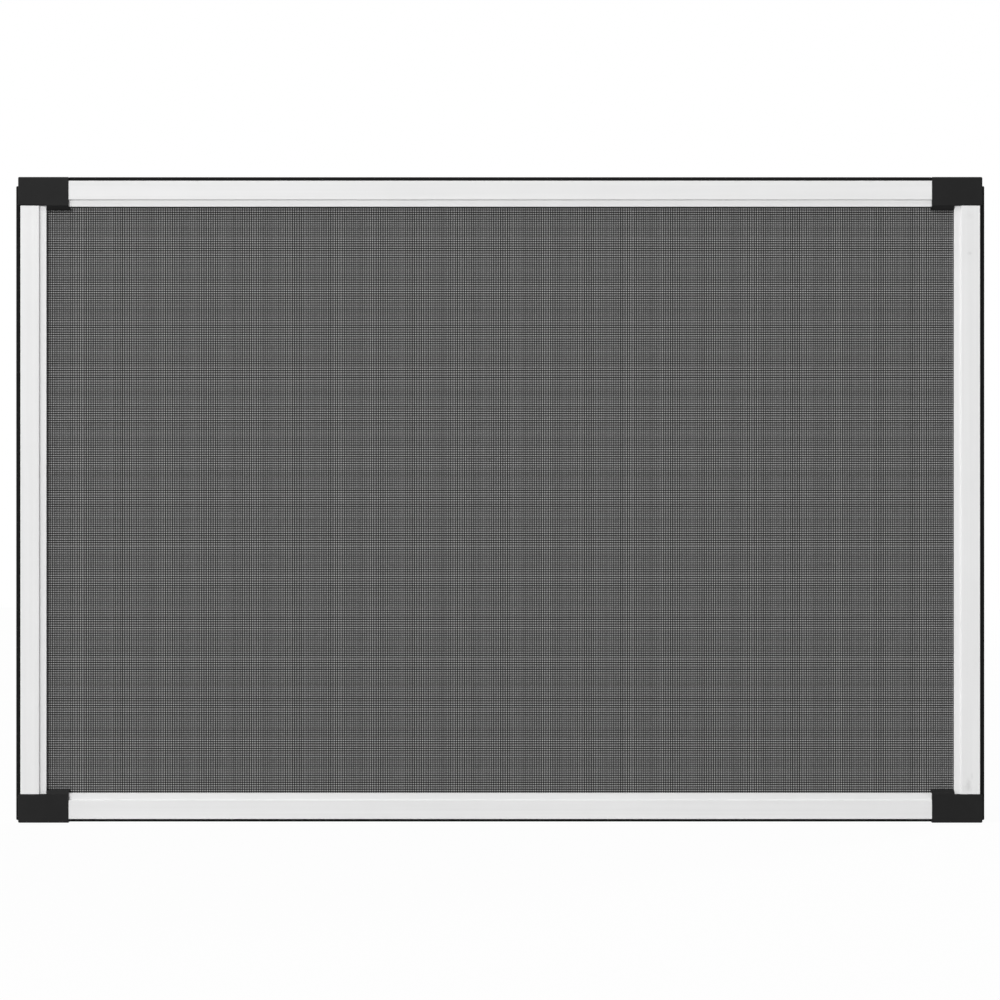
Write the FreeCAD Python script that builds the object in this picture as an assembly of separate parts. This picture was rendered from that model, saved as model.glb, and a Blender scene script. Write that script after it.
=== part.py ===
import FreeCAD, Part

# Window screen frame: a fixed insect screen panel that is set upright in a window opening.
# Four lengths of one painted aluminium extrusion are joined by four moulded corner pieces,
# whose barbed tongues press into the extrusion's hollow chamber. The mesh lies on the inner
# lip of the frame and turns down into a groove on the back, where spline cords hold it.
# Rubber seals stand in a T-slot along the four outer edges.
#
# Frame: millimetres, +X to the right as the front is seen, +Z up, front towards -Y.
# Origin: middle of the bottom edge, at mid depth.

import math
import os

V = FreeCAD.Vector

# Whole panel
overall_width = 750.0          # over the side seals
overall_height = 500.0         # over the end faces of the corner pieces

# Extruded profile, from its outer edge inwards and from its front backwards
profile_width = 20.0
profile_depth = 10.0
wall = 1.0
edge_radius = 0.4
step_at = 14.4                 # width of the raised outer land
step_run = 0.8                 # width of the slope beside it
step_drop = 2.0                # depth of the lower inner land
slot_mouth = 2.4               # T-slot for the seal's foot
slot_width = 4.6
slot_depth = 2.0
groove_width = 3.6             # groove that holds the mesh
inner_lip = 1.1                # wall between the groove and the opening
lip_setback = 4.0              # the mesh lies this far in front of the profile's back
chamber_radius = 0.5

# Corner pieces
corner_length = 38.9           # along the rail, from the piece's side to the rail's end
corner_height = 22.0           # along the stile, from the piece's end to the stile's end
corner_proud_side = 1.8        # beyond the stile's outer face
corner_proud_end = 2.9         # beyond the rail's outer face
corner_proud_face = 0.4        # beyond the profile's front and back
corner_radius = 1.0
corner_edge_radius = 0.7
joint_gap = 0.2                # between a corner piece and the end of a profile
inner_rim = 2.3                # the corner's rim stands this far inside the rail
inner_rim_overlap = 1.0        # its slanted end reaches this far along the rail
inner_rim_bevel = 2.2          # the rim falls back this far from the corner's face
rim_clearance = 0.1

# Barbed tongues of the corner pieces
tongue_length = 34.0
tongue_root = 1.0              # the tongue starts this far inside the corner piece
tongue_clearance = 0.15
tongue_tip = 3.0               # length of the tapered lead-in
tongue_taper = 1.4             # how much narrower the tip is on each side
barb_count = 7
barb_thickness = 1.4
barb_height = 1.9              # from the tongue's core to the top of a barb

# Seals
seal_width = 7.0               # at the profile's outer face
seal_crest = 5.0               # flat outer face of the seal
seal_radius = 0.6
seal_end_share = 0.3           # radius of a seal's end, as a share of how far it stands out
seal_clearance = 0.1
seal_head = 1.2                # thickness of the foot's head in the T-slot
seal_proud_side = 3.5
seal_proud_top = 2.9
seal_proud_bottom = 2.1
seal_end_gap = 0.2             # between a top or bottom seal and the corner pieces
side_seal_above_bottom = 2.0
side_seal_below_top = 7.0

# Mesh and spline
mesh_thickness = 0.45
thread_relief = 0.12           # height of a thread's ridge above the film between threads
thread_width = 1.3             # one ridge stands for a band of fine threads
gap_columns = 13               # open gaps across and up
gap_rows = 9
cells_per_gap = 9              # spaces between ridges, from one gap to the next
flange_depth = 2.8             # how far the turned-in edge reaches into the groove
spline_clearance = 0.05
spline_depth = 1.4             # centre of the cord in front of the mesh lip

# How far a cutting body runs past the face that it opens
overcut = 1.0

# Sizes that follow from those above
half_depth = profile_depth / 2
corner_half_depth = half_depth + corner_proud_face
stile_outer = overall_width / 2 - seal_proud_side
stile_inner = stile_outer - profile_width
corner_side = stile_outer + corner_proud_side
corner_face_x = corner_side - corner_length
rail_outer = corner_proud_end
rail_inner = rail_outer + profile_width
rail_length = 2 * (corner_face_x - joint_gap)
stile_length = overall_height - 2 * (corner_height + joint_gap)
groove_in = profile_width - inner_lip
groove_out = groove_in - groove_width
groove_floor = step_drop + wall
chamber_out = 2 * wall + slot_depth
chamber_in = step_at + step_run * wall / step_drop - wall
slot_floor = wall + slot_depth
mesh_front = half_depth - lip_setback
rim_top = rail_inner + inner_rim
spline_diameter = groove_width - mesh_thickness - 2 * spline_clearance
spline_across = groove_out + spline_clearance + spline_diameter / 2
spline_y = mesh_front - spline_depth


def outline(corners, to_point):
    """Closed wire through (a, b, radius) corners, with a tangent arc where the radius isn't 0."""
    points = [to_point(a, b) for a, b, _ in corners]
    starts, mids, ends = [], [], []
    for i, (_, _, radius) in enumerate(corners):
        here = points[i]
        back = (points[i - 1] - here).normalize()
        ahead = (points[(i + 1) % len(points)] - here).normalize()
        if radius == 0:
            starts.append(here)
            mids.append(None)
            ends.append(here)
            continue
        half = back.getAngle(ahead) / 2
        middle = (back + ahead).normalize()
        starts.append(here + back * (radius / math.tan(half)))
        mids.append(here + middle * (radius / math.sin(half) - radius))
        ends.append(here + ahead * (radius / math.tan(half)))
    edges = []
    for i in range(len(points)):
        if mids[i] is not None:
            edges.append(Part.Arc(starts[i], mids[i], ends[i]).toShape())
        following = starts[(i + 1) % len(points)]
        edges.append(Part.LineSegment(ends[i], following).toShape())
    return Part.Wire(edges)


def section_point(inward, backward):
    """A point of the profile's section, in the plane across a rail that runs along +X."""
    return V(0, backward - half_depth, inward)


def front_point(x, z):
    """A point of a front view, in the plane of the panel."""
    return V(x, 0, z)


def box(x0, x1, y0, y1, z0, z1):
    return Part.makeBox(x1 - x0, y1 - y0, z1 - z0, V(x0, y0, z0))


def slab(corners, y0, y1):
    """A plate with the front view given by its corners, from y0 to y1."""
    wire = outline(corners, front_point)
    wire.translate(V(0, y0, 0))
    return Part.Face(wire).extrude(V(0, y1 - y0, 0))


def mirrored(shape, normal):
    """The same piece on the other side: left for right, or top for bottom."""
    middle = V(0, 0, overall_height / 2)
    return shape.mirror(middle, normal)


def upright(run, start):
    """Turns a run that lies along +X into one that stands on the right-hand stile's line."""
    turned = run.copy()
    turned.rotate(V(0, 0, 0), V(0, 1, 0), -90)
    turned.translate(V(stile_outer, 0, start))
    return turned


def profile(length):
    """The extruded section: hollow chamber, T-slot outside, stepped land and mesh groove inside."""
    r = edge_radius
    mouth_low = (profile_depth - slot_mouth) / 2
    mouth_high = (profile_depth + slot_mouth) / 2
    slot_low = (profile_depth - slot_width) / 2
    slot_high = (profile_depth + slot_width) / 2
    lip_end = profile_depth - lip_setback
    outside = outline([
        (0, 0, r), (step_at, 0, r), (step_at + step_run, step_drop, r),
        (profile_width, step_drop, r), (profile_width, lip_end, r), (groove_in, lip_end, r),
        (groove_in, groove_floor, 0), (groove_out, groove_floor, 0),
        (groove_out, profile_depth, r), (0, profile_depth, r),
        (0, mouth_high, 0), (wall, mouth_high, 0), (wall, slot_high, 0),
        (slot_floor, slot_high, 0), (slot_floor, slot_low, 0), (wall, slot_low, 0),
        (wall, mouth_low, 0), (0, mouth_low, 0),
    ], section_point)
    q = chamber_radius
    chamber = outline([
        (chamber_out, wall, q), (chamber_in, wall, q),
        (chamber_in, profile_depth - wall, q), (chamber_out, profile_depth - wall, q),
    ], section_point)
    solid = Part.Face(outside).extrude(V(length, 0, 0))
    return solid.cut(Part.Face(chamber).extrude(V(length, 0, 0)))


def seal(length, proud):
    """A rubber edge seal along +X: a flat-crested lip on a T-shaped foot, with rounded ends."""
    middle = profile_depth / 2
    stem = slot_mouth / 2 - seal_clearance
    head = slot_width / 2 - seal_clearance
    head_near = wall + seal_clearance
    head_far = head_near + seal_head
    body = outline([
        (0, middle - seal_width / 2, 0), (-proud, middle - seal_crest / 2, seal_radius),
        (-proud, middle + seal_crest / 2, seal_radius), (0, middle + seal_width / 2, 0),
        (0, middle + stem, 0), (head_near, middle + stem, 0), (head_near, middle + head, 0),
        (head_far, middle + head, 0), (head_far, middle - head, 0),
        (head_near, middle - head, 0), (head_near, middle - stem, 0), (0, middle - stem, 0),
    ], section_point)
    strip = Part.Face(body).extrude(V(length, 0, 0))
    end_radius = seal_end_share * proud
    silhouette = slab([
        (0, -proud, end_radius), (length, -proud, end_radius),
        (length, slot_floor, 0), (0, slot_floor, 0),
    ], -profile_depth, profile_depth)
    return strip.common(silhouette)


def seal_channel(length, depth):
    """The room that a seal needs where it passes over a corner piece, along +X."""
    middle = profile_depth / 2
    stem = slot_mouth / 2
    head = slot_width / 2
    side = seal_width / 2 + seal_clearance
    room = outline([
        (0, middle - side, 0), (-depth, middle - side, 0),
        (-depth, middle + side, 0), (0, middle + side, 0),
        (0, middle + stem, 0), (wall, middle + stem, 0), (wall, middle + head, 0),
        (slot_floor, middle + head, 0), (slot_floor, middle - head, 0),
        (wall, middle - head, 0), (wall, middle - stem, 0), (0, middle - stem, 0),
    ], section_point)
    return Part.Face(room).extrude(V(length, 0, 0))


def tongue():
    """A barbed tongue along -X from the origin, in the place of the rail's chamber."""
    low = chamber_out + tongue_clearance
    high = chamber_in - tongue_clearance
    reach = half_depth - wall - tongue_clearance
    tip = tongue_length - tongue_tip
    q = chamber_radius
    front, back = half_depth - reach, half_depth + reach
    section = outline([
        (low + q, front, 0), (high - q, front, 0), (high, front + q, 0), (high, back - q, 0),
        (high - q, back, 0), (low + q, back, 0), (low, back - q, 0), (low, front + q, 0),
    ], section_point)
    section.translate(V(tongue_root, 0, 0))
    bar = Part.Face(section).extrude(V(-tongue_length - tongue_root, 0, 0))
    bar = bar.common(slab([
        (tongue_root, low, 0), (tongue_root, high, 0), (-tip, high, 0),
        (-tongue_length, high - tongue_taper, 0), (-tongue_length, low + tongue_taper, 0),
        (-tip, low, 0),
    ], -half_depth, half_depth))
    pocket_pitch = tip / barb_count
    pockets = []
    for i in range(barb_count):
        far = -pocket_pitch * (i + 1) + barb_thickness
        near = -pocket_pitch * i
        for side in (-1, 1):
            y0, y1 = sorted((side * (reach - barb_height), side * (reach + overcut)))
            pockets.append(box(far, near, y0, y1, low - overcut, high + overcut))
    return bar.cut(Part.makeCompound(pockets))


def corner_body():
    """The outside of the bottom right corner piece, before its groove and channel are cut."""
    shell = slab([
        (corner_face_x, 0, 0), (corner_side, 0, corner_radius),
        (corner_side, corner_height, corner_edge_radius), (corner_face_x, corner_height, 0),
    ], -corner_half_depth, corner_half_depth)
    outer_edges = []
    for edge in shell.Edges:
        bounds = edge.BoundBox
        on_face = bounds.YLength < 1e-6
        on_rail_end = bounds.XLength < 1e-6 and abs(bounds.XMin - corner_face_x) < 1e-6
        on_stile_end = bounds.ZLength < 1e-6 and abs(bounds.ZMin - corner_height) < 1e-6
        if on_face and not on_rail_end and not on_stile_end:
            outer_edges.append(edge)
    shell = shell.makeFillet(corner_edge_radius, outer_edges)
    rim_low = corner_height - inner_rim
    rim_right = stile_inner - rim_clearance
    rim = slab([
        (corner_face_x, rim_low, 0), (rim_right, rim_low, 0), (rim_right, rim_top, 0),
        (corner_face_x - inner_rim_overlap, rim_top, 0),
        (corner_face_x - rim_clearance, rail_inner + rim_clearance, 0),
        (corner_face_x, rail_inner + rim_clearance, 0),
    ], -corner_half_depth, mesh_front)
    front = -corner_half_depth
    start = corner_face_x - 2 * inner_rim_overlap
    bevel = Part.Face(Part.makePolygon([
        V(start, front, corner_height), V(start, front + inner_rim_bevel, rim_top),
        V(start, front - overcut, rim_top), V(start, front - overcut, corner_height),
        V(start, front, corner_height),
    ])).extrude(V(corner_length, 0, 0))
    return shell.fuse(rim.cut(bevel))


def corner_piece():
    """The moulded bottom right corner piece, with its groove, seal channel and two tongues."""
    floor_y = groove_floor - half_depth
    beyond = corner_half_depth + overcut
    above = rim_top + overcut
    groove_low = rail_outer + groove_out
    groove_high = rail_outer + groove_in
    groove_left = stile_outer - groove_in
    groove_right = stile_outer - groove_out
    far_left = corner_face_x - corner_length
    body = corner_body()
    body = body.cut(box(far_left, groove_right, floor_y, beyond, groove_low, groove_high))
    body = body.cut(box(groove_left, groove_right, floor_y, beyond, groove_low, above))
    body = body.cut(box(far_left, groove_left + overcut, mesh_front, beyond, groove_high - overcut, above))
    channel = seal_channel(corner_height + 2 * overcut, corner_proud_side + overcut)
    body = body.cut(upright(channel, -overcut))
    rail_tongue = tongue()
    rail_tongue.translate(V(corner_face_x, 0, rail_outer))
    stile_tongue = upright(tongue().mirror(V(0, 0, 0), V(1, 0, 0)), corner_height)
    return body.fuse([rail_tongue, stile_tongue]).removeSplitter()


def thread_cells(low, high, count):
    """The spaces between neighbouring ridges, when count of them share the way from low to high."""
    pitch = (high - low) / count
    return [(low + i * pitch + thread_width / 2, low + (i + 1) * pitch - thread_width / 2)
            for i in range(count)]


def mesh_sheet():
    """The mesh as one thin wall: upright ridges in front, level ridges behind, and open gaps."""
    edge_x = stile_outer - groove_in
    edge_z = rail_outer + groove_in
    top_z = overall_height - edge_z
    back = mesh_front + mesh_thickness
    sheet = box(-edge_x - mesh_thickness, edge_x + mesh_thickness, mesh_front, back,
                edge_z - mesh_thickness, top_z + mesh_thickness)
    ring = box(-edge_x - mesh_thickness, edge_x + mesh_thickness, mesh_front - flange_depth, mesh_front,
               edge_z - mesh_thickness, top_z + mesh_thickness)
    ring = ring.cut(box(-edge_x, edge_x, mesh_front - 2 * flange_depth, back, edge_z, top_z))
    sheet = sheet.fuse(ring)
    columns = thread_cells(-stile_inner, stile_inner, gap_columns * cells_per_gap)
    rows = thread_cells(rail_inner, overall_height - rail_inner, gap_rows * cells_per_gap)
    low_x, high_x = columns[0][0], columns[-1][1]
    low_z, high_z = rows[0][0], rows[-1][1]
    troughs = [box(x0, x1, mesh_front - overcut, mesh_front + thread_relief, low_z, high_z)
               for x0, x1 in columns]
    troughs += [box(low_x, high_x, back - thread_relief, back + overcut, z0, z1) for z0, z1 in rows]
    sheet = sheet.cut(Part.makeCompound(troughs))
    first = cells_per_gap // 2
    gaps = [box(x0, x1, mesh_front - overcut, back + overcut, z0, z1)
            for x0, x1 in columns[first::cells_per_gap] for z0, z1 in rows[first::cells_per_gap]]
    return sheet.cut(Part.makeCompound(gaps)).removeSplitter()


def spline(length):
    """A round cord along +X."""
    return Part.makeCylinder(spline_diameter / 2, length, V(0, 0, 0), V(1, 0, 0))


def build_parts():
    """Every piece of the panel, by its node name."""
    left_right = V(1, 0, 0)
    top_bottom = V(0, 0, 1)
    parts = {}

    bottom_rail = profile(rail_length)
    bottom_rail.translate(V(-rail_length / 2, 0, rail_outer))
    parts["bottom_rail"] = bottom_rail
    parts["top_rail"] = mirrored(bottom_rail, top_bottom)
    right_stile = upright(profile(stile_length), corner_height + joint_gap)
    parts["right_stile"] = right_stile
    parts["left_stile"] = mirrored(right_stile, left_right)

    corner = corner_piece()
    parts["corner_bottom_right"] = corner
    parts["corner_bottom_left"] = mirrored(corner, left_right)
    parts["corner_top_right"] = mirrored(corner, top_bottom)
    parts["corner_top_left"] = mirrored(parts["corner_top_right"], left_right)

    seal_length = 2 * (corner_face_x - seal_end_gap)
    bottom_seal = seal(seal_length, seal_proud_bottom)
    bottom_seal.translate(V(-seal_length / 2, 0, rail_outer))
    parts["seal_bottom"] = bottom_seal
    top_seal = seal(seal_length, seal_proud_top)
    top_seal.translate(V(-seal_length / 2, 0, rail_outer))
    parts["seal_top"] = mirrored(top_seal, top_bottom)
    side_length = overall_height - side_seal_above_bottom - side_seal_below_top
    right_seal = upright(seal(side_length, seal_proud_side), side_seal_above_bottom)
    parts["seal_right"] = right_seal
    parts["seal_left"] = mirrored(right_seal, left_right)

    parts["mesh"] = mesh_sheet()
    spline_reach = stile_outer - groove_out - spline_clearance
    bottom_spline = spline(2 * spline_reach)
    bottom_spline.translate(V(-spline_reach, spline_y, rail_outer + spline_across))
    parts["spline_bottom"] = bottom_spline
    parts["spline_top"] = mirrored(bottom_spline, top_bottom)
    spline_start = rail_outer + spline_across + spline_diameter / 2 + 2 * spline_clearance
    right_spline = spline(overall_height - 2 * spline_start)
    right_spline.rotate(V(0, 0, 0), V(0, 1, 0), -90)
    right_spline.translate(V(stile_outer - spline_across, spline_y, spline_start))
    parts["spline_right"] = right_spline
    parts["spline_left"] = mirrored(right_spline, left_right)
    return parts


def main():
    os.makedirs("parts", exist_ok=True)
    for name, shape in build_parts().items():
        if len(shape.Solids) != 1 or not shape.isValid():
            raise ValueError(f"{name} isn't one valid solid")
        shape.Solids[0].exportStep(os.path.join("parts", name + ".step"))
        size = shape.BoundBox
        print(f"{name}: {size.XLength:.1f} x {size.YLength:.1f} x {size.ZLength:.1f} mm, "
              f"{shape.Volume / 1000:.1f} cm3")


if __name__ == "__main__":
    main()
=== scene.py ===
import math

import bmesh
import bpy
from mathutils import Matrix, Vector


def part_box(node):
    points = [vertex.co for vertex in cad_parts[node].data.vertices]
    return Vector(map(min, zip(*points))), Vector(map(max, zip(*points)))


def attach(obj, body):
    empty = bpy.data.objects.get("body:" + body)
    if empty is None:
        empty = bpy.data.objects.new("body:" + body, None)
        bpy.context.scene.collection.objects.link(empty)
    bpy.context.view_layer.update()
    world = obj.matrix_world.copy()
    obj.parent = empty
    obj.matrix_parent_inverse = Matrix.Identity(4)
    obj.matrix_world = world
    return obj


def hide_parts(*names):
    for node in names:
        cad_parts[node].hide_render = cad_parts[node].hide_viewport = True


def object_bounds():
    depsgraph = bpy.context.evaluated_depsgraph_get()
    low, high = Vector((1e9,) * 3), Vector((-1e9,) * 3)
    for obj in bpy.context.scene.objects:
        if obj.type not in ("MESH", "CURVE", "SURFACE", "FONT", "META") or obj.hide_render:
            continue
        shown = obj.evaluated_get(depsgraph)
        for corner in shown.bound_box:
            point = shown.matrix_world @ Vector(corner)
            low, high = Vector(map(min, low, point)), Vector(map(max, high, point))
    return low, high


bl_info = {
    "name": "Window screen frame",
    "version": (1, 0, 0),
    "blender": (4, 5, 0),
    "location": "View3D > Sidebar > Screen",
    "description": "Dresses a window screen frame with paint, plastic, rubber and a woven mesh",
    "category": "Object",
}

MM = 0.001
PROFILES = ("bottom_rail", "top_rail", "left_stile", "right_stile")
CORNERS = ("corner_bottom_left", "corner_bottom_right", "corner_top_left", "corner_top_right")
SEALS = ("seal_bottom", "seal_top", "seal_left", "seal_right")
SPLINES = ("spline_bottom", "spline_top", "spline_left", "spline_right")

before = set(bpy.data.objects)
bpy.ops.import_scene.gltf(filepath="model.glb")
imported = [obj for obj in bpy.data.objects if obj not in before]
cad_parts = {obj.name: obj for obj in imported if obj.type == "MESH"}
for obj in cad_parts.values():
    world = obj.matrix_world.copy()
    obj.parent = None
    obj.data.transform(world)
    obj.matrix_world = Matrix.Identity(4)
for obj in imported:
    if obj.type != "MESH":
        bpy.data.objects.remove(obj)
CAD_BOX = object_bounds()
MESH_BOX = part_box("mesh")
PAINT_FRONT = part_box("right_stile")[0].y


# Nodes, materials and objects

# Settings that several nodes share. A tint multiplies a Mix node's colours, its sockets 6 and 7.
ADD = {"operation": "ADD"}
SUBTRACT = {"operation": "SUBTRACT"}
MULTIPLY = {"operation": "MULTIPLY"}
MULTIPLY_ADD = {"operation": "MULTIPLY_ADD"}
MAXIMUM = {"operation": "MAXIMUM"}
TINT = {"data_type": "RGBA", "blend_type": "MULTIPLY"}

# Nearly all of a noise texture's values lie between these two
NOISE_SPAN = {"From_Min": 0.3, "From_Max": 0.7}


def linear(value):
    """An sRGB hex colour, such as 0x1A1A1A, as the linear colour that Blender's sockets take."""
    channels = [((value >> shift) & 255) / 255 for shift in (16, 8, 0)]
    return [c / 12.92 if c <= 0.04045 else ((c + 0.055) / 1.055) ** 2.4 for c in channels] + [1.0]


def per_metre(size_mm):
    """The scale that gives a pattern's grains a size in millimetres."""
    return 1 / (size_mm * MM)


def add_node(tree, kind, settings=None, **sockets):
    """Adds a node with its settings, and gives each named or numbered socket a value or a link."""
    node = tree.nodes.new(kind)
    for name, value in (settings or {}).items():
        setattr(node, name, value)
    for name, value in sockets.items():
        key = int(name[1:]) if name[0] == "_" else name.replace("_", " ")
        if isinstance(value, bpy.types.NodeSocket):
            tree.links.new(value, node.inputs[key])
        else:
            node.inputs[key].default_value = value
    return node


def empty_tree(block):
    """The node tree of a material or a world, with nothing in it."""
    block.use_nodes = True
    block.node_tree.nodes.clear()
    return block.node_tree


def new_material(name):
    """An empty material and its node tree."""
    material = bpy.data.materials.new(name)
    return material, empty_tree(material)


def add_surface(tree, **sockets):
    """Ends a material with the Principled shader, given what its sockets take."""
    shader = add_node(tree, "ShaderNodeBsdfPrincipled", **sockets)
    add_node(tree, "ShaderNodeOutputMaterial", Surface=shader.outputs["BSDF"])


def mesh_of(name, bm):
    """A mesh with what the bmesh holds, which is then freed."""
    mesh = bpy.data.meshes.new(name)
    bm.to_mesh(mesh)
    bm.free()
    return mesh


def place_in_scene(name, data, place=(0, 0, 0)):
    """A new object of the scene that holds a mesh, a lamp or a camera."""
    item = bpy.data.objects.new(name, data)
    item.location = place
    bpy.context.scene.collection.objects.link(item)
    return item


def dress(node_name, material):
    """Gives a carried-over piece its finish."""
    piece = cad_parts[node_name]
    piece.data.materials.clear()
    piece.data.materials.append(material)


# Settings

COLOUR = {"subtype": "COLOR", "size": 4}
LENGTH = {"subtype": "DISTANCE", "unit": "LENGTH", "precision": 6}


class ScreenColours(bpy.types.PropertyGroup):
    """Colours of the paint, plastic, rubber and yarn"""
    paint: bpy.props.FloatVectorProperty(
        name="Paint", description="White paint of the extruded profiles",
        default=linear(0xE7E7E7), **COLOUR)
    plastic: bpy.props.FloatVectorProperty(
        name="Corner plastic", description="Black moulded plastic of the corner pieces",
        default=linear(0x111111), **COLOUR)
    rubber: bpy.props.FloatVectorProperty(
        name="Seal rubber", description="Black rubber of the edge seals",
        default=linear(0x0B0B0B), **COLOUR)
    cord: bpy.props.FloatVectorProperty(
        name="Spline cord", description="Black cord that holds the mesh",
        default=linear(0x181818), **COLOUR)
    yarn: bpy.props.FloatVectorProperty(
        name="Mesh yarn", description="Grey coating of the mesh yarn",
        default=linear(0x4A4A4A), **COLOUR)


class ScreenWeave(bpy.types.PropertyGroup):
    """Sizes of the woven mesh"""
    pitch_x: bpy.props.FloatProperty(
        name="Upright pitch", description="Spacing of the upright threads",
        default=1.7555 * MM, min=0.5 * MM, max=6.0 * MM, **LENGTH)
    pitch_z: bpy.props.FloatProperty(
        name="Level pitch", description="Spacing of the level threads",
        default=1.7542 * MM, min=0.5 * MM, max=6.0 * MM, **LENGTH)
    pore: bpy.props.FloatProperty(
        name="Pore width", description="Open width between two threads",
        default=0.09 * MM, min=0.02 * MM, max=5.0 * MM, **LENGTH)
    thickness: bpy.props.FloatProperty(
        name="Thread thickness", description="Thickness of one flat coated thread",
        default=0.30 * MM, min=0.05 * MM, max=1.0 * MM, **LENGTH)
    pore_x: bpy.props.FloatProperty(
        name="Pore column", description="Place of a column of pores, from the mesh's middle",
        default=-0.60 * MM, **LENGTH)
    pore_z: bpy.props.FloatProperty(
        name="Pore row", description="Place of a row of pores, from the mesh's middle",
        default=-0.65 * MM, **LENGTH)


class ScreenStage(bpy.types.PropertyGroup):
    """Camera and lights"""
    distance: bpy.props.FloatProperty(
        name="Camera distance", description="From the camera to the middle of the panel",
        default=4.0, min=1.0, **LENGTH)
    picture_width: bpy.props.FloatProperty(
        name="Picture width", description="Width of the view at the panel's front",
        default=0.7741, min=0.1, **LENGTH)
    key_power: bpy.props.FloatProperty(
        name="Key light", description="Power of the lamp in front, at the upper left",
        subtype="POWER", default=775.0, min=0.0)
    side_power: bpy.props.FloatProperty(
        name="Side light", description="Power of the lamp above the left side",
        subtype="POWER", default=302.0, min=0.0)
    back_power: bpy.props.FloatProperty(
        name="Back light", description="Power of the lamp behind the panel",
        subtype="POWER", default=650.0, min=0.0)
    ambient: bpy.props.FloatProperty(
        name="Ambient light", description="Level of the light from all round",
        subtype="FACTOR", default=0.21, min=0.0, max=1.0)


# Finishes of the frame

# Grey smudges that handling left on the right stile's front: x and z of the middle, half the width
# and half the height, all in mm, and how much of the paint's brightness each takes
SMUDGES = (
    (362.9, 470.0, 4.5, 4.0, 0.045),
    (363.6, 440.9, 2.4, 2.1, 0.130),
    (362.6, 30.2, 2.4, 5.4, 0.150),
    (365.3, 36.4, 1.3, 3.6, 0.085),
    (361.8, 26.5, 4.6, 4.0, 0.075),
)
SMUDGE_DEPTH_MM = 3.0
# Where a smudge is full and where it ends, counted in its half sizes once the fray is added
SMUDGE_CORE, SMUDGE_EDGE = 0.5, 1.6


def smudged(tree, place):
    """The share of its brightness that the paint keeps, a little less where it is smudged."""
    fray_mm = 1.8
    fray = add_node(tree, "ShaderNodeTexNoise", Vector=place, Scale=per_metre(fray_mm), Detail=2.0)
    kept = 1.0
    for x, z, half_width, half_height, strength in SMUDGES:
        middle = (x * MM, PAINT_FRONT, z * MM)
        scale = (per_metre(half_width), per_metre(SMUDGE_DEPTH_MM), per_metre(half_height))
        offset = add_node(tree, "ShaderNodeVectorMath", SUBTRACT, _0=place, _1=middle)
        scaled = add_node(tree, "ShaderNodeVectorMath", MULTIPLY, _0=offset.outputs[0], _1=scale)
        reach = add_node(tree, "ShaderNodeVectorMath", {"operation": "LENGTH"},
                         _0=scaled.outputs[0])
        frayed = add_node(tree, "ShaderNodeMath", ADD,
                          _0=reach.outputs["Value"], _1=fray.outputs["Fac"])
        mark = add_node(tree, "ShaderNodeMapRange", {"interpolation_type": "SMOOTHSTEP"},
                        Value=frayed.outputs[0], From_Min=SMUDGE_CORE, From_Max=SMUDGE_EDGE,
                        To_Min=1 - strength, To_Max=1.0)
        kept = add_node(tree, "ShaderNodeMath", MULTIPLY,
                        _0=kept, _1=mark.outputs[0]).outputs[0]
    return kept


def die_lines(tree, place, run, line_mm, drawn_out, detail):
    """Fine lines that the die leaves along a level or an upright run, as values of a noise.

    Along the run they change only drawn_out times as fast as across it.
    """
    scale = {"level": (drawn_out, 1.0, 1.0), "upright": (1.0, 1.0, drawn_out)}[run]
    along_run = add_node(tree, "ShaderNodeMapping", Vector=place, Scale=scale)
    lines = add_node(tree, "ShaderNodeTexNoise", Vector=along_run.outputs["Vector"],
                     Scale=per_metre(line_mm), Detail=detail)
    return lines.outputs["Fac"]


def satin_paint(colour, run):
    """White powder paint, satin, on extruded aluminium."""
    # It gives the eye an even white with a soft sheen, which a slight orange peel and the die's
    # lines break up, and it isn't quite the same white from end to end. The peel has its real
    # size. Real die lines are a few tenths of a millimetre wide, and these are coarser, so that
    # they show.
    peel_mm, line_mm, cloud_mm = 1.6, 2.0, 60.0
    cloud_low, cloud_high = 0.975, 1.0
    streak_low, streak_high = 0.975, 1.005
    smoothest, roughest = 0.36, 0.46
    line_height = 0.5

    material, tree = new_material("satin_white_paint_" + run)
    place = add_node(tree, "ShaderNodeTexCoord").outputs["Object"]
    peel = add_node(tree, "ShaderNodeTexNoise", Vector=place,
                    Scale=per_metre(peel_mm), Detail=2.0)
    cloud = add_node(tree, "ShaderNodeTexNoise", Vector=place,
                     Scale=per_metre(cloud_mm), Detail=3.0)
    lines = die_lines(tree, place, run, line_mm, drawn_out=0.01, detail=1.0)
    clouded = add_node(tree, "ShaderNodeMapRange", Value=cloud.outputs["Fac"], **NOISE_SPAN,
                       To_Min=cloud_low, To_Max=cloud_high)
    streaked = add_node(tree, "ShaderNodeMapRange", Value=lines, **NOISE_SPAN,
                        To_Min=streak_low, To_Max=streak_high)
    clean = add_node(tree, "ShaderNodeMath", MULTIPLY,
                     _0=clouded.outputs["Result"], _1=streaked.outputs["Result"])
    worn = add_node(tree, "ShaderNodeMath", MULTIPLY, _0=clean.outputs[0], _1=smudged(tree, place))
    tone = add_node(tree, "ShaderNodeMix", TINT, Factor=1.0, _6=colour, _7=worn.outputs[0])
    gloss = add_node(tree, "ShaderNodeMapRange", Value=lines, **NOISE_SPAN,
                     To_Min=smoothest, To_Max=roughest)
    height = add_node(tree, "ShaderNodeMath", MULTIPLY_ADD,
                      _0=lines, _1=line_height, _2=peel.outputs["Fac"])
    bump = add_node(tree, "ShaderNodeBump", Strength=0.12, Distance=0.05 * MM,
                    Height=height.outputs[0])
    add_surface(tree, Base_Color=tone.outputs[2], Roughness=gloss.outputs["Result"],
                Normal=bump.outputs["Normal"])
    return material


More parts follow.
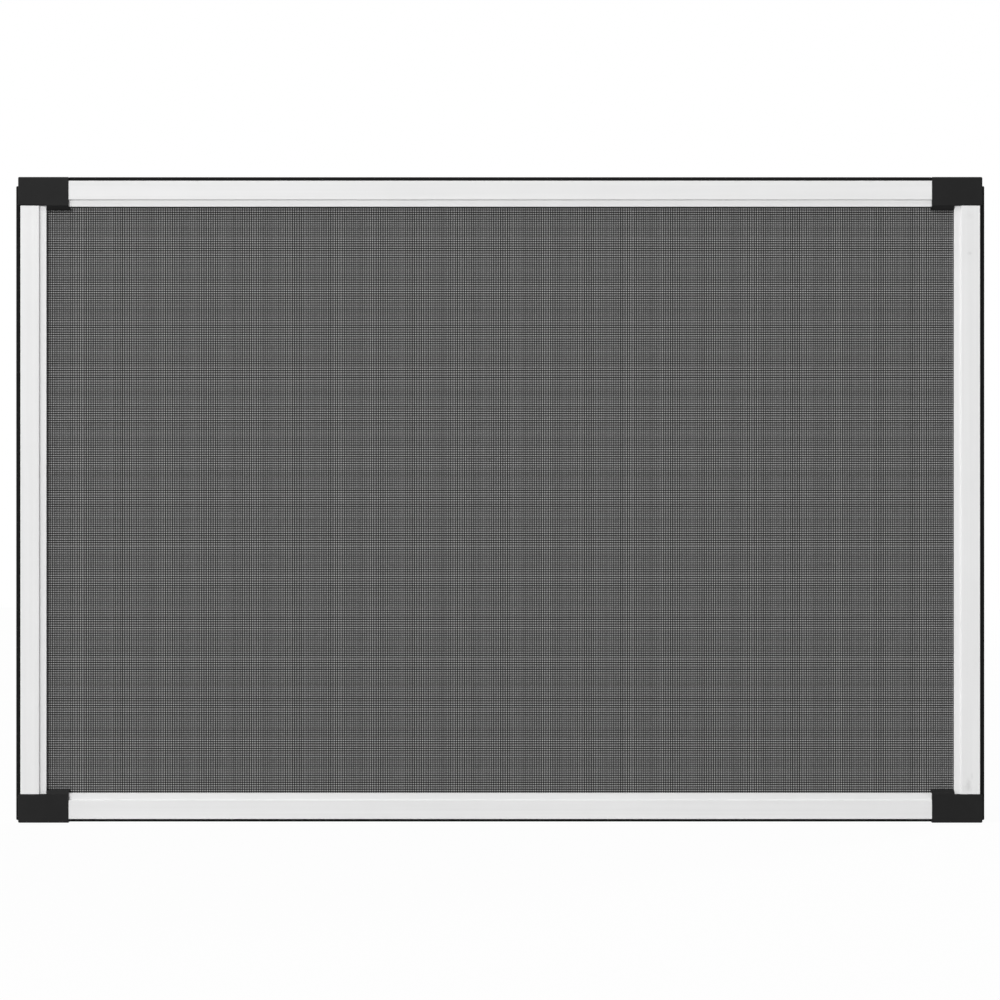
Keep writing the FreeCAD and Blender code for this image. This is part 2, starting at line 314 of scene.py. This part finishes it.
def moulded_plastic(colour):
    """Black plastic, moulded in a spark-eroded mould."""
    # It gives the eye a matt black that is a little greyer where it turns to the light, with no
    # clear reflection. A real spark-eroded grain is about a tenth of a millimetre, and this one
    # is coarser, so that it shows. Slow marks follow the flow of the melt.
    grain_mm, flow_mm = 0.7, 14.0
    darkest, palest = 0.80, 1.16
    smoothest, roughest = 0.46, 0.60

    material, tree = new_material("moulded_black_plastic")
    place = add_node(tree, "ShaderNodeTexCoord").outputs["Object"]
    grain = add_node(tree, "ShaderNodeTexNoise", Vector=place,
                     Scale=per_metre(grain_mm), Detail=3.0)
    flow = add_node(tree, "ShaderNodeTexNoise", Vector=place,
                    Scale=per_metre(flow_mm), Detail=2.0)
    shade = add_node(tree, "ShaderNodeMapRange", Value=flow.outputs["Fac"], **NOISE_SPAN,
                     To_Min=darkest, To_Max=palest)
    tone = add_node(tree, "ShaderNodeMix", TINT, Factor=1.0, _6=colour, _7=shade.outputs["Result"])
    gloss = add_node(tree, "ShaderNodeMapRange", Value=grain.outputs["Fac"], **NOISE_SPAN,
                     To_Min=smoothest, To_Max=roughest)
    bump = add_node(tree, "ShaderNodeBump", Strength=0.25, Distance=0.06 * MM,
                    Height=grain.outputs["Fac"])
    add_surface(tree, Base_Color=tone.outputs[2], Roughness=gloss.outputs["Result"],
                Specular_IOR_Level=0.16, Normal=bump.outputs["Normal"])
    return material


def extruded_rubber(name, colour, run, rib_depth_mm):
    """Black rubber, extruded: a seal has faint die lines, and a spline cord has ribs for grip."""
    # It gives the eye a deep matt black with hardly a sheen and a slight grey bloom. Real die
    # lines are about a fifth of a millimetre wide, and these are coarser, so that they show.
    line_mm, bloom_mm = 0.6, 25.0
    darkest, palest = 0.85, 1.15

    material, tree = new_material(name + "_" + run)
    place = add_node(tree, "ShaderNodeTexCoord").outputs["Object"]
    lines = die_lines(tree, place, run, line_mm, drawn_out=0.02, detail=2.0)
    bloom = add_node(tree, "ShaderNodeTexNoise", Vector=place,
                     Scale=per_metre(bloom_mm), Detail=3.0)
    shade = add_node(tree, "ShaderNodeMapRange", Value=bloom.outputs["Fac"], **NOISE_SPAN,
                     To_Min=darkest, To_Max=palest)
    tone = add_node(tree, "ShaderNodeMix", TINT, Factor=1.0, _6=colour, _7=shade.outputs["Result"])
    bump = add_node(tree, "ShaderNodeBump", Strength=0.3, Distance=rib_depth_mm * MM, Height=lines)
    add_surface(tree, Base_Color=tone.outputs[2], Roughness=0.72, Specular_IOR_Level=0.1,
                Normal=bump.outputs["Normal"])
    return material


class SCREEN_OT_profiles(bpy.types.Operator):
    """Paint the rails and stiles"""
    bl_idname = "screen.profiles"
    bl_label = "Painted profiles"

    def execute(self, context):
        colour = context.scene.screen_colours.paint
        level, upright = satin_paint(colour, "level"), satin_paint(colour, "upright")
        for name in PROFILES:
            dress(name, level if name.endswith("rail") else upright)
        return {"FINISHED"}


class SCREEN_OT_corners(bpy.types.Operator):
    """Finish the moulded corner pieces"""
    bl_idname = "screen.corners"
    bl_label = "Corner pieces"

    def execute(self, context):
        plastic = moulded_plastic(context.scene.screen_colours.plastic)
        for name in CORNERS:
            dress(name, plastic)
        return {"FINISHED"}


class SCREEN_OT_seals(bpy.types.Operator):
    """Finish the edge seals and the spline cords"""
    bl_idname = "screen.seals"
    bl_label = "Seals and splines"

    def execute(self, context):
        colours = context.scene.screen_colours
        for names, label, colour, rib_depth_mm in (
                (SEALS, "seal_rubber", colours.rubber, 0.05),
                (SPLINES, "spline_cord", colours.cord, 0.3)):
            level = extruded_rubber(label, colour, "level", rib_depth_mm)
            upright = extruded_rubber(label, colour, "upright", rib_depth_mm)
            for name in names:
                dress(name, upright if name.endswith(("left", "right")) else level)
        return {"FINISHED"}


# The woven mesh

# The threads' two axes by number, all axes as directions, and the one towards the panel's back
X, Z = 0, 2
AXES = (Vector((1, 0, 0)), Vector((0, 1, 0)), Vector((0, 0, 1)))
BACK = AXES[1]
# Sides of a thread's section, and the angle from which an edge stays sharp
THREAD_SIDES = 10
SHARP_ANGLE = math.radians(30)

# The yarn's tone rises and falls in waves across the cloth. The strongest are painted light: their
# crests lie at the pores and paint in the white seen through the openings, not a paler coating.
# These are their strengths.
UPRIGHT_PORE_LIGHT = 0.480
LEVEL_PORE_LIGHT = 0.507
# The other waves: the period and the place of one crest from the mesh's middle, both in mm, and
# the strength. The first has pale lines a tenth of a millimetre further apart than the threads,
# and they beat against them. The rest are slow stripes that the loom leaves, and the last evens
# out that beat. In a real cloth they are fainter, and here they are stronger, so that they show.
UPRIGHT_STRIPES = (
    (1.8557, -0.744, 0.246),
    (2.825, -1.21, 0.040),
    (4.436, -0.31, 0.016),
    (5.77, -1.52, 0.033),
    (12.53, -0.42, 0.021),
    (22.64, -10.16, 0.027),
    (32.51, 18.2, 0.046),
)
LEVEL_STRIPES = (
    (1.8557, -0.805, 0.266),
    (2.85, 0.99, 0.024),
    (4.423, -0.02, 0.016),
    (5.80, -1.06, 0.044),
    (12.52, 1.56, 0.033),
    (21.90, 7.20, 0.016),
    (32.07, 18.1, 0.048),
)
# The lowest tone that the waves may reach, and the power that turns a tone into light
DARKEST_TONE = 0.05
DISPLAY_GAMMA = 2.2


def wave(tree, coordinate, period_mm, crest_mm, strength):
    """The height of one wave at a coordinate: a cosine with this period, crest and strength."""
    turn = 2 * math.pi / period_mm
    angle = add_node(tree, "ShaderNodeMath", MULTIPLY_ADD,
                     _0=coordinate, _1=turn / MM, _2=-turn * crest_mm)
    cosine = add_node(tree, "ShaderNodeMath", {"operation": "COSINE"}, _0=angle.outputs[0])
    return add_node(tree, "ShaderNodeMath", MULTIPLY, _0=cosine.outputs[0], _1=strength).outputs[0]


def coated_yarn(colour, upright_waves, level_waves):
    """Glass yarn with a vinyl coating, woven and fused."""
    # It gives the eye a dull charcoal cloth of fine pale lines and slow stripes. The pale lines at
    # the pores are painted light, the white seen through the openings. The waves add up as the eye
    # adds tones, so their total is turned to a share of light only at the end.
    material, tree = new_material("vinyl_coated_glass_yarn")
    place = add_node(tree, "ShaderNodeTexCoord").outputs["Object"]
    place = add_node(tree, "ShaderNodeSeparateXYZ", Vector=place)
    total = 1.0
    for axis, waves in (("X", upright_waves), ("Z", level_waves)):
        for period_mm, crest_mm, strength in waves:
            ripple = wave(tree, place.outputs[axis], period_mm, crest_mm, strength)
            total = add_node(tree, "ShaderNodeMath", ADD, _0=total, _1=ripple).outputs[0]
    total = add_node(tree, "ShaderNodeMath", MAXIMUM, _0=total, _1=DARKEST_TONE)
    share = add_node(tree, "ShaderNodeMath", {"operation": "POWER"},
                     _0=total.outputs[0], _1=DISPLAY_GAMMA)
    tone = add_node(tree, "ShaderNodeMix", TINT, Factor=1.0, _6=colour, _7=share.outputs[0])
    add_surface(tree, Base_Color=tone.outputs[2], Roughness=0.65, Specular_IOR_Level=0.2)
    return material


def thread_ring(bm, centre, across, thick, cap):
    """One section of a flat thread: a small polygon as wide and as thick as the thread."""
    along = across.cross(thick).normalized()
    matrix = Matrix((across, thick, along)).transposed().to_4x4()
    matrix.translation = centre
    ring = bmesh.ops.create_circle(bm, cap_ends=cap, radius=0.5, segments=THREAD_SIDES,
                                   matrix=matrix)
    return list({edge for vert in ring["verts"] for edge in vert.link_edges})


def bent_thread(bm, run, side, ends, flat_y, tucked_y, width, thickness):
    """A thread that lies across the opening and turns down into the groove at both ends."""
    low, high = ends
    stations = (
        (low * run + tucked_y * BACK, run, True),
        (low * run + flat_y * BACK, run - BACK, False),
        (high * run + flat_y * BACK, run + BACK, False),
        (high * run + tucked_y * BACK, run, True),
    )
    rings = [thread_ring(bm, centre, side * width, thick * thickness, cap)
             for centre, thick, cap in stations]
    for first, second in zip(rings, rings[1:]):
        bmesh.ops.bridge_loops(bm, edges=first + second)


def thread_layer(name, bm, side, places):
    """A piece of all the threads of one direction, as copies of the one thread in the bmesh."""
    bmesh.ops.recalc_face_normals(bm, faces=bm.faces)
    for face in bm.faces:
        face.smooth = True
    for edge in bm.edges:
        edge.smooth = edge.calc_face_angle(0) < SHARP_ANGLE
    first_verts = bm.verts[:]
    pattern = first_verts + bm.edges[:] + bm.faces[:]
    for place in places[1:]:
        copy = bmesh.ops.duplicate(bm, geom=pattern)
        verts = [item for item in copy["geom"] if isinstance(item, bmesh.types.BMVert)]
        bmesh.ops.translate(bm, vec=side * place, verts=verts)
    bmesh.ops.translate(bm, vec=side * places[0], verts=first_verts)
    return place_in_scene(name, mesh_of(name, bm))


def thread_places(low, high, pitch, pore):
    """Thread centres a pitch apart, half a pitch beside a given pore, and one more at each edge.

    The regular ones stay a quarter of a pitch inside the edges.
    """
    clear = 0.25
    middle = (low + high) / 2 + pore + pitch / 2
    first = math.ceil((low - middle) / pitch + clear)
    last = math.floor((high - middle) / pitch - clear)
    return [low, *(middle + i * pitch for i in range(first, last + 1)), high]


class SCREEN_OT_mesh(bpy.types.Operator):
    """Weave the mesh: flat threads both ways, fused where they cross and tucked into the groove"""
    bl_idname = "screen.mesh"
    bl_label = "Woven mesh"

    def execute(self, context):
        weave = context.scene.screen_weave
        low, high = MESH_BOX
        thickness = weave.thickness
        flat_y, tucked_y = high.y - thickness / 2, low.y + thickness / 2
        layers = []
        for name, run, side, pitch, pore in (
                ("mesh_upright_threads", Z, X, weave.pitch_x, weave.pore_x),
                ("mesh_level_threads", X, Z, weave.pitch_z, weave.pore_z)):
            width = pitch - weave.pore
            ends = (low[run] + thickness, high[run] - thickness)
            bm = bmesh.new()
            bent_thread(bm, AXES[run], AXES[side], ends, flat_y, tucked_y, width, thickness)
            places = thread_places(low[side] + width / 2, high[side] - width / 2, pitch, pore)
            layers.append(thread_layer(name, bm, AXES[side], places))
        mid_z = (low.z + high.z) / 2
        # The first wave of each axis is the painted light of the pores, with its crests on a
        # column or row of pores.
        upright_waves = [(weave.pitch_x / MM, weave.pore_x / MM, UPRIGHT_PORE_LIGHT), *UPRIGHT_STRIPES]
        level_waves = [(weave.pitch_z / MM, (mid_z + weave.pore_z) / MM, LEVEL_PORE_LIGHT)]
        for period_mm, crest_mm, strength in LEVEL_STRIPES:
            level_waves.append((period_mm, mid_z / MM + crest_mm, strength))
        yarn = coated_yarn(context.scene.screen_colours.yarn, upright_waves, level_waves)
        for piece in layers:
            piece.data.materials.append(yarn)
            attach(piece, "root")
            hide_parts("mesh")
        return {"FINISHED"}


# Stage

# The floor's reach each way in metres, and its share of plain white where it is seen
FLOOR_REACH = 8.0
FLOOR_WHITE = 0.96
# Each lamp: its place in metres, the setting that gives its power, and the side of its square
LAMPS = {
    "key_light": (Vector((-4.70, -10.08, 4.75)), "key_power", 1.4),
    "side_light": (Vector((-4.6, -2.6, 7.2)), "side_power", 3.2),
    "back_light": (Vector((4.7, 9.6, 4.75)), "back_power", 1.8),
}
SENSOR_WIDTH_MM = 36.0
# The picture's middle lies this far from the panel's
CAMERA_OFFSET = Vector((-0.2 * MM, 0, -0.1 * MM))


def is_seen(tree):
    """1 for a ray that shows the surface, also in a reflection or through glass, or else 0."""
    path = add_node(tree, "ShaderNodeLightPath")
    seen = path.outputs["Is Camera Ray"]
    for ray in ("Is Glossy Ray", "Is Transmission Ray"):
        seen = add_node(tree, "ShaderNodeMath", MAXIMUM, _0=seen, _1=path.outputs[ray]).outputs[0]
    return seen


def pale_floor():
    """Pale floor that looks nearly plain white and still takes the panel's faint shadow."""
    material, tree = new_material("pale_studio_floor")
    share = add_node(tree, "ShaderNodeMath", MULTIPLY, _0=is_seen(tree), _1=FLOOR_WHITE)
    plain = add_node(tree, "ShaderNodeBsdfDiffuse", Color=linear(0xE0E0E0))
    white = add_node(tree, "ShaderNodeEmission", Color=linear(0xFFFFFF), Strength=1.0)
    mix = add_node(tree, "ShaderNodeMixShader",
                   _0=share.outputs[0], _1=plain.outputs[0], _2=white.outputs[0])
    add_node(tree, "ShaderNodeOutputMaterial", Surface=mix.outputs[0])
    return material


def white_world(ambient):
    """White where it is seen or reflected, and a soft ambient light everywhere else."""
    world = bpy.data.worlds.new("studio")
    tree = empty_tree(world)
    level = add_node(tree, "ShaderNodeMapRange", Value=is_seen(tree), To_Min=ambient, To_Max=1.0)
    light = add_node(tree, "ShaderNodeBackground",
                     Color=linear(0xFFFFFF), Strength=level.outputs["Result"])
    add_node(tree, "ShaderNodeOutputWorld", Surface=light.outputs[0])
    return world


class SCREEN_OT_stage(bpy.types.Operator):
    """Set up the floor, the soft studio light and the camera in front of the panel"""
    bl_idname = "screen.stage"
    bl_label = "Studio"

    def execute(self, context):
        stage = context.scene.screen_stage
        low, high = CAD_BOX
        centre = (low + high) / 2

        bm = bmesh.new()
        bmesh.ops.create_grid(bm, x_segments=1, y_segments=1, size=FLOOR_REACH,
                              matrix=Matrix.Translation((0, 0, low.z)))
        mesh = mesh_of("floor", bm)
        mesh.materials.append(pale_floor())
        place_in_scene("floor", mesh)

        context.scene.world = white_world(stage.ambient)
        for name, (place, power, size) in LAMPS.items():
            data = bpy.data.lights.new(name, "AREA")
            data.energy = getattr(stage, power)
            data.size = size
            lamp = place_in_scene(name, data, place)
            lamp.rotation_euler = (centre - place).to_track_quat("-Z", "Y").to_euler()

        data = bpy.data.cameras.new("front_camera")
        data.sensor_width = SENSOR_WIDTH_MM
        data.lens = SENSOR_WIDTH_MM * (stage.distance + low.y) / stage.picture_width
        camera_place = centre - stage.distance * BACK + CAMERA_OFFSET
        camera = place_in_scene("front_camera", data, camera_place)
        camera.rotation_euler = (math.pi / 2, 0, 0)
        context.scene.camera = camera
        context.scene.view_settings.view_transform = "Standard"
        return {"FINISHED"}


# The add-on

class SCREEN_PT_panel(bpy.types.Panel):
    """Settings and buttons for each part of the window screen frame"""
    bl_label = "Window screen frame"
    bl_idname = "SCREEN_PT_panel"
    bl_space_type = "VIEW_3D"
    bl_region_type = "UI"
    bl_category = "Screen"

    def draw(self, context):
        layout = self.layout
        for group in GROUPS:
            settings = getattr(context.scene, group)
            for name in settings.__annotations__:
                layout.prop(settings, name)
        for operator in OPERATORS:
            layout.operator(operator.bl_idname)


GROUPS = {
    "screen_colours": ScreenColours,
    "screen_weave": ScreenWeave,
    "screen_stage": ScreenStage,
}
OPERATORS = (
    SCREEN_OT_profiles,
    SCREEN_OT_corners,
    SCREEN_OT_seals,
    SCREEN_OT_mesh,
    SCREEN_OT_stage,
)
CLASSES = (*GROUPS.values(), *OPERATORS, SCREEN_PT_panel)


def register():
    for item in CLASSES:
        bpy.utils.register_class(item)
    for name, group in GROUPS.items():
        setattr(bpy.types.Scene, name, bpy.props.PointerProperty(type=group))


def unregister():
    for name in GROUPS:
        delattr(bpy.types.Scene, name)
    for item in reversed(CLASSES):
        bpy.utils.unregister_class(item)


def main():
    register()
    bpy.ops.screen.profiles()
    bpy.ops.screen.corners()
    bpy.ops.screen.seals()
    bpy.ops.screen.mesh()
    bpy.ops.screen.stage()


if __name__ == "__main__":
    main()
